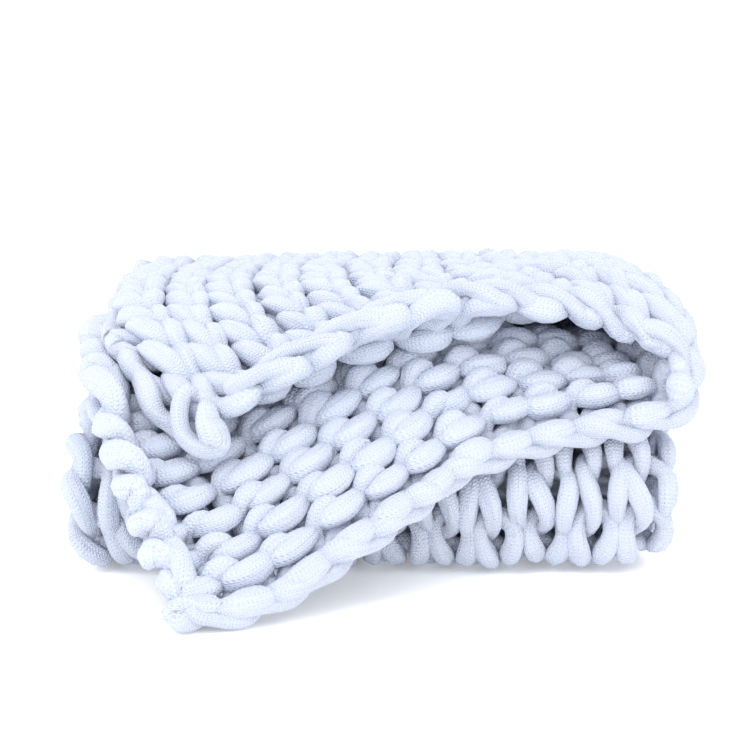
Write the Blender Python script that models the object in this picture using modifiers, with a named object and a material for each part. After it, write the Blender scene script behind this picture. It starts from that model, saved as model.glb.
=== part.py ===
"""Chunky knit throw, folded in half lengthwise and then in thirds, as one closed solid.

The cloth is one knitted rectangle. A point of it is named by its wale, counted from one
selvedge to the other, and by its course, counted from the cast-on edge to the bound-off edge.

It lies folded like this:
- along the wales it is folded in half, knit side out, with the fold on the right (+X), so that
  everywhere there is an upper leaf and a lower leaf;
- along the courses the doubled cloth runs from the back to the front on the ground, turns up
  and back, turns up again at the back and comes forward on top.
On top, the upper leaf ends a little over the front turn, and from the left to the middle its
edge curls up. The lower leaf slants forward over the front turn and its corner lies on the
ground.

Metres, +Z up, the front at -Y, the origin on the ground under the middle of the bounding box.
"""

import bisect
import math
from collections import namedtuple

import bmesh
import bpy
from mathutils import Vector

# The cloth, laid flat
WALE = 0.045
COURSE = 0.033
WALES = 24
COURSES = 42
THICKNESS = 0.027

# The stack, measured from a point on the ground inside it
LAYER = 0.036  # from the middle of one layer to the middle of the next
HALF_GAP = LAYER / 2
FRONT = -0.178  # where the front turn starts
BACK = 0.150  # where the back turn starts
CAST_ON = 0.205  # the cast-on edge, on the ground at the back
SQUARE = 0.55  # how square the outer front turn is at the bottom, 0 being round
ROUND_FROM = math.radians(120)  # it is round from here up
BOX_CENTRE = Vector((0.0147, -0.0856, 0.0))

# Courses in each stretch of the cloth, from the cast-on edge
BOTTOM_RUN = 11.0
TURN = 3.5
MIDDLE_RUN = 9.5
TOP_RUN = COURSES - BOTTOM_RUN - MIDDLE_RUN - 2 * TURN
FRONT_TURN_AT = BOTTOM_RUN
MIDDLE_RUN_AT = FRONT_TURN_AT + TURN
BACK_TURN_AT = MIDDLE_RUN_AT + MIDDLE_RUN
TOP_RUN_AT = BACK_TURN_AT + TURN

# Wales in half of the lengthwise fold, and in the leaf beside it
HALF_FOLD = math.pi * HALF_GAP / WALE / 2
LEAF = WALES / 2 - HALF_FOLD

# Left edge and start of the lengthwise fold, along the courses
Side = namedtuple("Side", "course left fold")
SIDES = (
    Side(0.0, -0.248, 0.213),
    Side(11.0, -0.248, 0.213),
    Side(12.8, -0.262, 0.230),
    Side(17.0, -0.256, 0.231),
    Side(24.0, -0.250, 0.226),
    Side(27.5, -0.245, 0.220),
)

# How high the stack stands, against flat layers, from the front to the back
Loft = namedtuple("Loft", "y left middle right")
LOFTS = (
    Loft(-0.26, 0.86, 0.90, 0.91),
    Loft(-0.20, 0.87, 0.92, 0.95),
    Loft(-0.16, 0.91, 0.99, 1.02),
    Loft(-0.12, 0.96, 1.08, 1.11),
    Loft(-0.06, 1.00, 1.14, 1.16),
    Loft(0.04, 1.03, 1.13, 1.13),
    Loft(0.16, 1.03, 1.06, 1.05),
    Loft(0.24, 0.98, 0.98, 0.98),
)
LOFT_MIDDLE = 0.02
LEFT_FADE = 0.24
RIGHT_FADE = 0.20

# Height of the lower leaf where it falls over the front turn to the ground
Drop = namedtuple("Drop", "y z")
DROPS = (
    Drop(-0.430, THICKNESS / 2),
    Drop(-0.375, THICKNESS / 2),
    Drop(-0.356, 0.0215),
    Drop(-0.335, 0.0410),
    Drop(-0.300, 0.0725),
    Drop(-0.265, 0.1035),
    Drop(-0.225, 0.1320),
    Drop(-0.190, 0.1530),
    Drop(-0.160, 0.1680),
    Drop(-0.130, 0.1810),
)
DROP_BLEND = (-0.225, -0.165)  # between these it passes from the drop to the top of the stack
DROP_SAG = 0.006  # it hangs this much lower on the left
SAG_WIDTH = 0.20
SAG_LENGTH = 0.10

# Front edge of the lower leaf, from the selvedge (0) to the fold (1). The courses behind it run
# along it: lean is their shift to the side and step their shift to the back, seen from above.
LowerEdge = namedtuple("LowerEdge", "across x y lean step")
LOWER_EDGE = (
    LowerEdge(0.00, -0.147, -0.386, -0.40, 0.0230),
    LowerEdge(0.14, -0.084, -0.368, -0.40, 0.0225),
    LowerEdge(0.30, -0.024, -0.333, -0.42, 0.0225),
    LowerEdge(0.46, 0.028, -0.298, -0.38, 0.0230),
    LowerEdge(0.64, 0.090, -0.260, -0.25, 0.0245),
    LowerEdge(0.82, 0.162, -0.240, -0.10, 0.0265),
    LowerEdge(1.00, 0.244, -0.228, -0.12, 0.0270),
)
STRAIGHT = 6.0  # courses that run along the front edge
LOWER_SWING = (0.35, -1.1)  # how far the leaf first follows its slant, and how straight it leaves

# Front edge of the upper leaf, where its last courses start to roll: the pitch of the cloth
# there, its slant to the side and how far the rolled courses turn up, in degrees.
UpperEdge = namedtuple("UpperEdge", "across x y z pitch slant roll")
UPPER_EDGE = (
    UpperEdge(0.000, -0.215, -0.2085, 0.178, -35, -0.22, 3),
    UpperEdge(0.110, -0.160, -0.2150, 0.175, -39, -0.30, 12),
    UpperEdge(0.210, -0.126, -0.2150, 0.171, -42, -0.32, 90),
    UpperEdge(0.320, -0.077, -0.2050, 0.178, -40, -0.30, 130),
    UpperEdge(0.420, -0.038, -0.1880, 0.189, -32, -0.28, 130),
    UpperEdge(0.560, 0.033, -0.1686, 0.201, -22, -0.25, 125),
    UpperEdge(0.645, 0.078, -0.1580, 0.204, -16, -0.22, 110),
    UpperEdge(0.745, 0.130, -0.1250, 0.215, -14, -0.18, 50),
    UpperEdge(0.850, 0.183, -0.1150, 0.222, -17, -0.16, 20),
    UpperEdge(0.930, 0.216, -0.1230, 0.224, -23, -0.18, 5),
    UpperEdge(1.000, 0.232, -0.1370, 0.223, -24, -0.20, 2),
)
ROLLED = 2.2  # courses in the rolled edge
UPPER_SWING = 0.8  # how far the leaf first follows its slant
ARRIVE = 0.9  # how firmly it takes the pitch of its edge

# Cells of the mesh in each stretch: to this wale or course, so many cells
WALE_CELLS = ((LEAF, 12), (WALES - LEAF, 8), (WALES, 12))
COURSE_CELLS = (
    (FRONT_TURN_AT - 1, 5),
    (FRONT_TURN_AT, 2),
    (MIDDLE_RUN_AT, 10),
    (MIDDLE_RUN_AT + 1, 2),
    (BACK_TURN_AT - 1, 6),
    (BACK_TURN_AT, 2),
    (TOP_RUN_AT, 9),
    (COURSES, 29),
)

YARN_BLUE = (0.66, 0.74, 0.84, 1.0)
YARN_ROUGHNESS = 0.9


def ease(t):
    """Smooth step from 0 to 1."""
    t = min(max(t, 0.0), 1.0)
    return t * t * (3 - 2 * t)


def hermite(t, start, start_slope, end, end_slope):
    """Cubic from start to end, for numbers or vectors."""
    return (
        start * (2 * t**3 - 3 * t**2 + 1)
        + start_slope * (t**3 - 2 * t**2 + t)
        + end * (3 * t**2 - 2 * t**3)
        + end_slope * (t**3 - t**2)
    )


def slope(rows, i, column):
    """Slope of a column at row i of a table, flat where the column turns, so nothing overshoots."""
    near = rows[max(i - 1, 0) : i + 2]
    rises = [(b[column] - a[column]) / (b[0] - a[0]) for a, b in zip(near, near[1:])]
    before, after = rises[0], rises[-1]
    return 2 * before * after / (before + after) if before * after > 0 else 0.0


def along(rows, key):
    """The row that lies at key in a table, by the table's first column."""
    i = min(max(bisect.bisect([row[0] for row in rows], key) - 1, 0), len(rows) - 2)
    width = rows[i + 1][0] - rows[i][0]
    t = min(max((key - rows[i][0]) / width, 0.0), 1.0)
    values = [
        hermite(
            t,
            rows[i][column],
            slope(rows, i, column) * width,
            rows[i + 1][column],
            slope(rows, i + 1, column) * width,
        )
        for column in range(1, len(rows[0]))
    ]
    return type(rows[0])(key, *values)


def lifted(x, y, z):
    """Height of a layer that would be at z in a flat stack."""
    loft = along(LOFTS, y)
    factor = loft.middle
    factor += (loft.left - loft.middle) * ease((LOFT_MIDDLE - x) / LEFT_FADE)
    factor += (loft.right - loft.middle) * ease((x - LOFT_MIDDLE) / RIGHT_FADE)
    return THICKNESS / 2 + (z - HALF_GAP) * factor


def under_run(across, course, off):
    """A leaf below the top: off is its distance from the middle of the doubled cloth."""
    if course <= FRONT_TURN_AT:
        y = CAST_ON + (FRONT - CAST_ON) * course / BOTTOM_RUN
        z = LAYER + off
    elif course <= MIDDLE_RUN_AT:
        # The outer leaf's turn is squarer at the bottom.
        turn = math.pi * (course - FRONT_TURN_AT) / TURN
        radius = LAYER - off
        square = 0.0 if off > 0 else SQUARE * (1 - ease(turn / ROUND_FROM))
        power = 1 - square
        y = FRONT - radius * abs(math.sin(turn)) ** power
        rise = math.copysign(abs(math.cos(turn)) ** power, math.cos(turn))
        z = 2 * LAYER - radius * rise
    elif course <= BACK_TURN_AT:
        y = FRONT + (BACK - FRONT) * (course - MIDDLE_RUN_AT) / MIDDLE_RUN
        z = 3 * LAYER - off
    else:
        turn = math.pi * (course - BACK_TURN_AT) / TURN
        radius = LAYER + off
        y = BACK + radius * math.sin(turn)
        z = 4 * LAYER - radius * math.cos(turn)
    side = along(SIDES, course)
    x = side.left + (side.fold - side.left) * across
    return Vector((x, y, lifted(x, y, z)))


def top_start(across):
    """Where a wale leaves the back turn, seen from above."""
    side = SIDES[-1]
    return Vector((side.left + (side.fold - side.left) * across, BACK, 0.0))


def lower_top(across, course):
    """The lower leaf's top run: it slants forward, over the front turn and down."""
    edge = along(LOWER_EDGE, across)
    step = Vector((edge.lean * edge.step, edge.step, 0.0))
    front = Vector((edge.x, edge.y, 0.0))
    left = COURSES - course
    if left <= STRAIGHT:
        place = front + step * left
    else:
        start = top_start(across)
        end = front + step * STRAIGHT
        courses = TOP_RUN - STRAIGHT
        way = end - start
        leave = Vector((LOWER_SWING[0] * way.x, LOWER_SWING[1] * way.length, 0.0))
        place = hermite((TOP_RUN - left) / courses, start, leave, end, -step * courses)
    on_stack = lifted(place.x, place.y, HALF_GAP + 4 * LAYER)
    sag = ease((LOFT_MIDDLE - place.x) / SAG_WIDTH) * ease((place.y - DROPS[1].y) / SAG_LENGTH)
    in_front = along(DROPS, place.y).z - DROP_SAG * sag
    share = ease((place.y - DROP_BLEND[0]) / (DROP_BLEND[1] - DROP_BLEND[0]))
    place.z = on_stack * share + in_front * (1 - share)
    return place


def upper_top(across, course):
    """The upper leaf's top run: it comes forward on the stack and its edge curls up."""
    edge = along(UPPER_EDGE, across)
    pitch = math.radians(edge.pitch)
    level = Vector((-edge.slant, -1.0, 0.0)).normalized()
    ahead = level * math.cos(pitch) + Vector((0.0, 0.0, math.sin(pitch)))
    start = top_start(across)
    start.z = lifted(start.x, start.y, HALF_GAP + 5 * LAYER)
    end = Vector((edge.x, edge.y, edge.z))
    way = end - start
    left = COURSES - course
    flat_courses = TOP_RUN - ROLLED
    leave = Vector((-UPPER_SWING * way.x / way.y, -1.0, 0.0)) * way.length
    arrive = ahead * min(way.length, flat_courses * COURSE) * ARRIVE
    place = hermite(1 - max(left - ROLLED, 0.0) / flat_courses, start, leave, end, arrive)
    if left < ROLLED:
        radius = ROLLED * COURSE / math.radians(edge.roll)
        angle = math.radians(edge.roll) * (ROLLED - left) / ROLLED
        across_edge = ahead.cross(Vector((0.0, 0.0, 1.0))).normalized()
        up = across_edge.cross(ahead)
        place += ahead * radius * math.sin(angle) + up * radius * (1 - math.cos(angle))
    return place


def leaf(across, course, upper):
    """A point of one leaf: across is 0 at its selvedge and 1 at the lengthwise fold."""
    if course <= TOP_RUN_AT:
        return under_run(across, course, HALF_GAP if upper else -HALF_GAP)
    return upper_top(across, course) if upper else lower_top(across, course)


def cloth(wale, course):
    """The middle of the cloth's thickness, at a wale and a course."""
    if wale <= LEAF:
        place = leaf(wale / LEAF, course, upper=False)
    elif wale >= WALES - LEAF:
        place = leaf((WALES - wale) / LEAF, course, upper=True)
    else:
        low = leaf(1.0, course, upper=False)
        high = leaf(1.0, course, upper=True)
        reach = (high - low) / 2
        angle = math.pi * (wale - LEAF) / (2 * HALF_FOLD)
        place = (low + high) / 2 - reach * math.cos(angle)
        place.x += reach.length * math.sin(angle)
    return place - BOX_CENTRE


def stops(stretches):
    """Places of the mesh's lines, for stretches of (end, cells) that start at 0."""
    places = [0.0]
    for end, cells in stretches:
        start = places[-1]
        places += [start + (end - start) * (i + 1) / cells for i in range(cells)]
    return places


def make_yarn():
    yarn = bpy.data.materials.new("pale_blue_yarn")
    yarn.use_nodes = True
    shader = yarn.node_tree.nodes["Principled BSDF"]
    shader.inputs["Base Color"].default_value = YARN_BLUE
    shader.inputs["Roughness"].default_value = YARN_ROUGHNESS
    shader.inputs["Metallic"].default_value = 0.0
    return yarn


def make_throw():
    """A flat grid, one line per stop, laid into the folds and given its thickness."""
    wales = stops(WALE_CELLS)
    courses = stops(COURSE_CELLS)
    columns, rows = len(wales) - 1, len(courses) - 1
    grid = bmesh.new()
    bmesh.ops.create_grid(grid, x_segments=columns, y_segments=rows, size=0.5)
    for vertex in grid.verts:
        column = round((vertex.co.x + 0.5) * columns)
        row = round((vertex.co.y + 0.5) * rows)
        vertex.co = cloth(wales[column], courses[row])
    mesh = bpy.data.meshes.new("knit_throw")
    grid.to_mesh(mesh)
    grid.free()
    mesh.shade_smooth()
    mesh.materials.append(make_yarn())
    throw = bpy.data.objects.new("knit_throw", mesh)
    thickness = throw.modifiers.new("Cloth thickness", "SOLIDIFY")
    thickness.thickness = THICKNESS
    thickness.offset = 0.0
    thickness.use_even_offset = False
    return throw


def main():
    for old in list(bpy.data.objects):
        bpy.data.objects.remove(old, do_unlink=True)
    collection = bpy.data.collections.new("Chunky knit throw")
    bpy.context.scene.collection.children.link(collection)
    collection.objects.link(make_throw())


main()
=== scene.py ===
"""Looks of the chunky knit throw: every stitch of its thick yarn, laid along the folded cloth.

The cloth is named by wale (from selvedge to selvedge) and course (from the cast-on edge to the
bound-off edge). The folds are the same as in the part's own source. On them the yarn runs back
and forth, course by course, as real stockinette does, and a chain closes both ends.
"""

import bisect
import functools
import math
from collections import namedtuple

import bmesh
import bpy
import numpy as np
from bpy.props import FloatProperty, FloatVectorProperty, IntProperty, PointerProperty
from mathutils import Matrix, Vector


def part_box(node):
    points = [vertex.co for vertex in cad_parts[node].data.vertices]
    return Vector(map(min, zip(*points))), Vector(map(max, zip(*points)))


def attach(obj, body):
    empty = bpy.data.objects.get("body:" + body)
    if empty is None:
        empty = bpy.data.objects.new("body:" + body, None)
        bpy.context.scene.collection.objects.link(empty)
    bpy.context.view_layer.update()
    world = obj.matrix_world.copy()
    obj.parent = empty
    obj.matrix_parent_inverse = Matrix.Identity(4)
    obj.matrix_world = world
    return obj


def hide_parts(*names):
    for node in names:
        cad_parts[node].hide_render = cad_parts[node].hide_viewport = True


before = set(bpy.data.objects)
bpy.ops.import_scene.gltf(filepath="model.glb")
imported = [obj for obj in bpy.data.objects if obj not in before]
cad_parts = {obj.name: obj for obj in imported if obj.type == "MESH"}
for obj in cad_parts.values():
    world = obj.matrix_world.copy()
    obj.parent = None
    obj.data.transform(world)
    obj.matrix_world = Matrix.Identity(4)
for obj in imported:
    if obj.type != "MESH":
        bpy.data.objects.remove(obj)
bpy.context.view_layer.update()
LOW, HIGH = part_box("knit_throw")

bl_info = {
    "name": "Chunky Knit Throw",
    "version": (1, 0, 0),
    "blender": (4, 5, 0),
    "location": "View3D > Sidebar > Throw",
    "description": "Knits a folded throw from one thick yarn and lights it on a pale floor",
    "category": "Object",
}

# The cloth, laid flat
WALE = 0.045
COURSE = 0.033
WALES = 24
COURSES = 42
THICKNESS = 0.027

# The stack, measured from a point on the ground inside it
LAYER = 0.036  # from the middle of one layer to the middle of the next
HALF_GAP = LAYER / 2
FRONT = -0.178  # where the front turn starts
BACK = 0.150  # where the back turn starts
CAST_ON = 0.205  # the cast-on edge, on the ground at the back
SQUARE = 0.55  # how square the outer front turn is at the bottom, 0 being round
ROUND_FROM = math.radians(120)  # it is round from here up
BOX_CENTRE = Vector((0.0147, -0.0856, 0.0))

# Courses in each stretch of the cloth, from the cast-on edge
BOTTOM_RUN = 11.0
TURN = 3.5
MIDDLE_RUN = 9.5
TOP_RUN = COURSES - BOTTOM_RUN - MIDDLE_RUN - 2 * TURN
FRONT_TURN_AT = BOTTOM_RUN
MIDDLE_RUN_AT = FRONT_TURN_AT + TURN
BACK_TURN_AT = MIDDLE_RUN_AT + MIDDLE_RUN
TOP_RUN_AT = BACK_TURN_AT + TURN

# Wales in half of the lengthwise fold, and in the leaf beside it
HALF_FOLD = math.pi * HALF_GAP / WALE / 2
LEAF = WALES / 2 - HALF_FOLD

# Left edge and start of the lengthwise fold, along the courses
Side = namedtuple("Side", "course left fold")
SIDES = (
    Side(0.0, -0.248, 0.213),
    Side(11.0, -0.248, 0.213),
    Side(12.8, -0.262, 0.230),
    Side(17.0, -0.256, 0.231),
    Side(24.0, -0.250, 0.226),
    Side(27.5, -0.245, 0.220),
)

# How high the stack stands, against flat layers, from the front to the back
Loft = namedtuple("Loft", "y left middle right")
LOFTS = (
    Loft(-0.26, 0.86, 0.90, 0.91),
    Loft(-0.20, 0.87, 0.92, 0.95),
    Loft(-0.16, 0.91, 0.99, 1.02),
    Loft(-0.12, 0.96, 1.08, 1.11),
    Loft(-0.06, 1.00, 1.14, 1.16),
    Loft(0.04, 1.03, 1.13, 1.13),
    Loft(0.16, 1.03, 1.06, 1.05),
    Loft(0.24, 0.98, 0.98, 0.98),
)
LOFT_MIDDLE = 0.02
LEFT_FADE = 0.24
RIGHT_FADE = 0.20

# Height of the lower leaf where it falls over the front turn to the ground
Drop = namedtuple("Drop", "y z")
DROPS = (
    Drop(-0.430, THICKNESS / 2),
    Drop(-0.375, THICKNESS / 2),
    Drop(-0.356, 0.0215),
    Drop(-0.335, 0.0410),
    Drop(-0.300, 0.0725),
    Drop(-0.265, 0.1035),
    Drop(-0.225, 0.1320),
    Drop(-0.190, 0.1530),
    Drop(-0.160, 0.1680),
    Drop(-0.130, 0.1810),
)
DROP_BLEND = (-0.225, -0.165)  # between these it passes from the drop to the top of the stack
DROP_SAG = 0.006  # it hangs this much lower on the left
SAG_WIDTH = 0.20
SAG_LENGTH = 0.10

# Front edge of the lower leaf, from the selvedge (0) to the fold (1). The courses behind it run
# along it: lean is their shift to the side and step their shift to the back, seen from above.
LowerEdge = namedtuple("LowerEdge", "across x y lean step")
LOWER_EDGE = (
    LowerEdge(0.00, -0.147, -0.386, -0.40, 0.0230),
    LowerEdge(0.14, -0.084, -0.368, -0.40, 0.0225),
    LowerEdge(0.30, -0.024, -0.333, -0.42, 0.0225),
    LowerEdge(0.46, 0.028, -0.298, -0.38, 0.0230),
    LowerEdge(0.64, 0.090, -0.260, -0.25, 0.0245),
    LowerEdge(0.82, 0.162, -0.240, -0.10, 0.0265),
    LowerEdge(1.00, 0.244, -0.228, -0.12, 0.0270),
)
STRAIGHT = 6.0  # courses that run along the front edge
LOWER_SWING = (0.35, -1.1)  # how far the leaf first follows its slant, and how straight it leaves

# Front edge of the upper leaf, where its last courses start to roll: the pitch of the cloth
# there, its slant to the side and how far the rolled courses turn up, in degrees.
UpperEdge = namedtuple("UpperEdge", "across x y z pitch slant roll")
UPPER_EDGE = (
    UpperEdge(0.000, -0.215, -0.2085, 0.178, -35, -0.22, 3),
    UpperEdge(0.110, -0.160, -0.2150, 0.175, -39, -0.30, 12),
    UpperEdge(0.210, -0.126, -0.2150, 0.171, -42, -0.32, 90),
    UpperEdge(0.320, -0.077, -0.2050, 0.178, -40, -0.30, 130),
    UpperEdge(0.420, -0.038, -0.1880, 0.189, -32, -0.28, 130),
    UpperEdge(0.560, 0.033, -0.1686, 0.201, -22, -0.25, 125),
    UpperEdge(0.645, 0.078, -0.1580, 0.204, -16, -0.22, 110),
    UpperEdge(0.745, 0.130, -0.1250, 0.215, -14, -0.18, 50),
    UpperEdge(0.850, 0.183, -0.1150, 0.222, -17, -0.16, 20),
    UpperEdge(0.930, 0.216, -0.1230, 0.224, -23, -0.18, 5),
    UpperEdge(1.000, 0.232, -0.1370, 0.223, -24, -0.20, 2),
)
ROLLED = 2.2  # courses in the rolled edge
UPPER_SWING = 0.8  # how far the leaf first follows its slant
ARRIVE = 0.9  # how firmly it takes the pitch of its edge

# Lines of the grid that the folded cloth is read from
PER_WALE = 6
PER_COURSE = 4
MARGIN = 2  # wales or courses past each edge, where the grid runs straight on

# The path of a course, in metres: its loops sway, lean and pass from face to face
LOW_HALF_HEIGHT = 0.0238  # half a loop's height, on the lower leaf and on the upper one
UP_HALF_HEIGHT = 0.0275
HEAD_SHARE = 0.0008  # how much wider than half a stitch a head is, on either side
FOOT_SWAY = 0.006
HEAD_SWAY = 0.011
LOOP_LEAN = -0.013
LOOP_DEPTH = 0.0072
LOW_FLATNESS = 0.45  # how flat it runs along each face, 0 being a plain wave
UP_FLATNESS = 0.35
LEAF_FADE = 1.0  # wales on either side of the lengthwise fold, where one leaf's loops end
KNITTED = COURSES - 1  # courses of loops, between the chains at both ends
FIRST_AT = 0.90  # courses from the cast-on edge to the middle of the first loops
SELVEDGE_INSET = 0.40  # wales from the edge of the cloth to the first and last loops
TURN_REACH = 0.007  # how far the yarn's turns reach out at the selvedges
EASED = 0.2  # of a loop, on either side of where a course meets a turn
EASING = 6  # times that these are evened out

# How thick the yarn is along a loop, as shares of its thickness
LOOP_SWELL = 0.14  # it is thicker in the middle of a leg, a head or a foot, and pinched between
HEAD_SWELL = 0.08  # and heads are thicker than feet
LOW_EDGE_SWELL = 0.18  # and it is thicker by this share at the lower leaf's selvedge
UP_EDGE_SWELL = -0.10
EDGE_REACH = 0.9  # wales

# How far the hand-made loops and links stray
SIDEWAYS_STRAY = 0.0022
FORWARD_STRAY = 0.0020
DEPTH_STRAY = 0.0010
THICKNESS_STRAY = 0.05
CHAIN_TURN_STRAY = 0.18  # radians
CHAIN_RADIUS_STRAY = 0.0010
CHAIN_THICKNESS_STRAY = 0.04
CHAIN_SEED = 1000  # keeps the chains' chance apart from the courses'

# The yarn's own surface: broad and narrow flutes wind round it
BROAD_FLUTES = 3
BROAD_FLUTE_DEPTH = 0.045
NARROW_FLUTES = 5
NARROW_FLUTE_DEPTH = 0.035
FLUTE_TWIST = 9.0  # radians that the broad ones' wave turns in a metre
COUNTER_TWIST = 1.7  # the narrow ones' turns the other way, this many times as far
FLUTE_WOBBLE = 2.0  # radians
FLUTE_WOBBLE_RATE = 31  # radians in a metre
SIDE_SMOOTHING = 3  # times that the tube's sides are evened out along the yarn
ROUND_END = 0.98  # how far the yarn's ends round in, 1 being to a point
MERGE = 1e-6  # its seam's points lie closer than this
SHORTEST = 1e-9  # no vector is shorter
GROUND_GAP = 0.0006  # the yarn stays this far above the ground
YARN_MAP = "Along yarn"

# The thin sheet inside the knit, painted slate as the shade deep in its gaps
SHEET_THICKNESS = 0.0015
SHEET_PER_STITCH = 4  # faces of the sheet along each side of a stitch
SHEET_DEPTH = 0.015  # it lies this far behind the face that shows
# On the top run it goes over from the knit side (1) to the purl side (-1) along the lengthwise
# fold, where both faces show
SheetTurn = namedtuple("SheetTurn", "wale side")
SHEET_TURNS = (SheetTurn(7.5, 1), SheetTurn(9.5, 0), SheetTurn(12.2, 0), SheetTurn(13.2, -1))
SHEET_TURN_COURSES = 2  # before the top run, over which it takes this up
FRONT_DEPTH = 0.004  # and at the front turn this much further in, past the yarn's open gaps
FRONT_REACH = 3.4  # courses on either side of the front turn's middle
SHEET_INSET = 0.1  # wales between it and the rolled selvedges
SHEET_COURSES = (0.9, 39.4)  # its first and last course: there is none in the curled edge

# The chain at each end: two strands that wind round each other, from the first wale to the last.
# Past is the side to which the first strand starts, 1 being ahead.
Chain = namedtuple("Chain", "name course past first last links")
CHAINS = (
    Chain("yarn_cast_on_chain", 0.30, -1, 0.35, 23.65, 23),
    Chain("yarn_bound_off_chain", 41.75, 1, 0.35, 22.20, 22),
)
# The bound-off chain stops short of the upper leaf's corner. There the yarn's last loop hangs
# down on the lower leaf: its points, from a stitch of the chain, and how thick the yarn is.
LAST_LOOP_WALE = 22.5
LAST_LOOP_COURSE = 41.2
LoopPoint = namedtuple("LoopPoint", "x y z thick")
LAST_LOOP = (
    LoopPoint(0.000, 0.004, 0.000, 0.80),
    LoopPoint(-0.016, -0.010, 0.012, 0.80),
    LoopPoint(-0.021, -0.019, -0.003, 0.82),
    LoopPoint(-0.018, -0.025, -0.018, 0.84),
    LoopPoint(-0.008, -0.029, -0.027, 0.90),
    LoopPoint(0.003, -0.031, -0.029, 1.05),
    LoopPoint(0.010, -0.032, -0.025, 1.20),
    LoopPoint(0.007, -0.031, -0.017, 1.35),
    LoopPoint(0.003, -0.028, -0.008, 1.15),
    LoopPoint(0.002, -0.023, 0.000, 0.90),
    LoopPoint(0.001, -0.010, 0.004, 0.75),
)
LAST_LOOP_STEPS = 8
LAST_LOOP_FACING = Vector((0.0, -0.8, 0.6))
CHAIN_RADIUS = 0.0060
CHAIN_THICK = 0.88
CHAIN_SWELL = 0.17
CHAIN_STEPS = 20  # points to a link

# Selvedges roll towards the purl side: how many wales roll, how tightly, and how far the yarn
# then stands out past the block's side, for the lower and the upper leaf
Roll = namedtuple("Roll", "course low_wales low_radius low_out up_wales up_radius up_out")
ROLLS = (
    Roll(0.0, 0.67, 0.018, 0.006, 0.67, 0.018, 0.006),
    Roll(11.6, 0.67, 0.018, 0.010, 0.67, 0.018, 0.008),
    Roll(12.6, 0.83, 0.020, 0.012, 0.67, 0.018, 0.010),
    Roll(14.2, 0.83, 0.020, 0.014, 0.67, 0.018, 0.010),
    Roll(15.6, 0.67, 0.018, 0.016, 0.67, 0.018, 0.010),
    Roll(24.0, 0.67, 0.018, 0.012, 0.67, 0.018, 0.008),
    Roll(29.0, 0.83, 0.014, 0.024, 1.00, 0.018, 0.004),
    Roll(33.0, 1.33, 0.015, 0.036, 1.33, 0.018, 0.006),
    Roll(37.0, 1.33, 0.015, 0.028, 1.33, 0.020, 0.012),
    Roll(39.5, 1.00, 0.013, 0.014, 1.00, 0.022, 0.010),
    Roll(42.0, 0.83, 0.014, 0.014, 0.67, 0.030, 0.006),
)
OUT_REACH = 6.0  # wales over which that fades
ROLL_TAKES = 0.97  # the rolled wales are this share of their flat width
YARN_PROUD = 0.016  # from the middle of the cloth to the outside of its yarn

# How much wider the courses of the top run are at its back than at its front
LOWER_CROWDING = 0.18
UPPER_CROWDING = -0.16
CROWDING_FADE = 1.5  # wales on either side of the lengthwise fold
# Towards the bound-off edge the lengthwise fold opens, and takes in more wales
FOLD_TAKES = 1.1
FOLD_SPREAD = 1.4
FOLD_OPENS = (35.0, 41.0)  # courses
# The yarn presses flatter than the block at the lengthwise fold, most of all at the open end
FOLD_DRAWN_IN = 0.004
OPEN_FOLD_DRAWN_IN = 0.013
FOLD_REACH = 0.20  # from the middle to where it is flattest
# Where the cloth is pushed up or down: by how much, the wale and course of its middle, and how
# many wales and courses it reaches across and ahead
Swell = namedtuple("Swell", "rise wale course across ahead")
SWELLS = (
    Swell(0.026, 7.7, 37.8, 2.7, 2.0),  # in the mouth the lower leaf bulges
    Swell(-0.019, 10.2, 35.6, 2.3, 2.4),  # and sinks into the stack beside and behind that
    Swell(-0.008, 7.5, 41.6, 3.4, 2.2),  # and its edge hangs lower
    Swell(0.008, 14.4, 42.0, 1.9, 4.0),  # over it the upper leaf's edge is held up
)

# Points along each loop and around the yarn, in courses that show and in hidden ones
Detail = namedtuple("Detail", "along around")
FINE = Detail(26, 16)
COARSE = Detail(12, 10)
Stretch = namedtuple("Stretch", "name first last thick detail")
STRETCHES = (
    Stretch("yarn_bottom_run", 0, 10, 1.0, COARSE),
    Stretch("yarn_front_turn", 10, 16, 0.84, FINE),
    Stretch("yarn_middle_run", 16, 23, 1.0, COARSE),
    Stretch("yarn_back_turn", 23, 29, 0.95, FINE),
    Stretch("yarn_top_run", 29, 36, 1.0, FINE),
    Stretch("yarn_last_courses", 36, KNITTED, 1.0, FINE),
)


# The finish of the yarn: tiny stitches in ribs along it, and soft creases
RIBS = 14  # waves round the yarn
BEAD = 0.0027  # length of a tiny stitch
BEAD_SHIFT = 1.4  # radians that beads lie ahead on one rib and behind on the next
BEAD_RELIEF = 0.0009
BEAD_STRENGTH = 0.75
CREASES_ALONG = 22.0  # in a metre
CREASES_AROUND = 7.0  # round the yarn
CREASE_RELIEF = 0.004
CREASE_STRENGTH = 0.8
CLOUD_DETAIL = 2.0
DRIFT_SCALE = 14.0  # of the yarn's colour
SHEEN_SPREAD = 0.5

# The inner sheet's colour: slate, painted shade, with pale ridges of painted light in the front
# turn's open gaps
RIDGE = 0.012  # from one purl bump to the next
RIDGE_WOBBLE = 9.0  # radians
RIDGE_RELIEF = 0.004
FRONT_GAPS = 0.05  # the open gaps lie further forward than this
FRONT_SHARPNESS = 40.0  # how sharply the ridges start there, in a metre
GAPS_UP_TO = 4 * LAYER  # and they lie lower than this
TOP_SHARPNESS = 60.0  # how sharply they end there
SLATE_SCALE = 40.0
SLATE_DETAIL = 3.0
SLATE_DARK = 0.8  # its darker shade, as a share of its colour
SHEET_ROUGHNESS = 0.95

# Sockets of the node that mixes two colours
FIRST_COLOUR = 6
SECOND_COLOUR = 7
MIXED_COLOUR = 2

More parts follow.
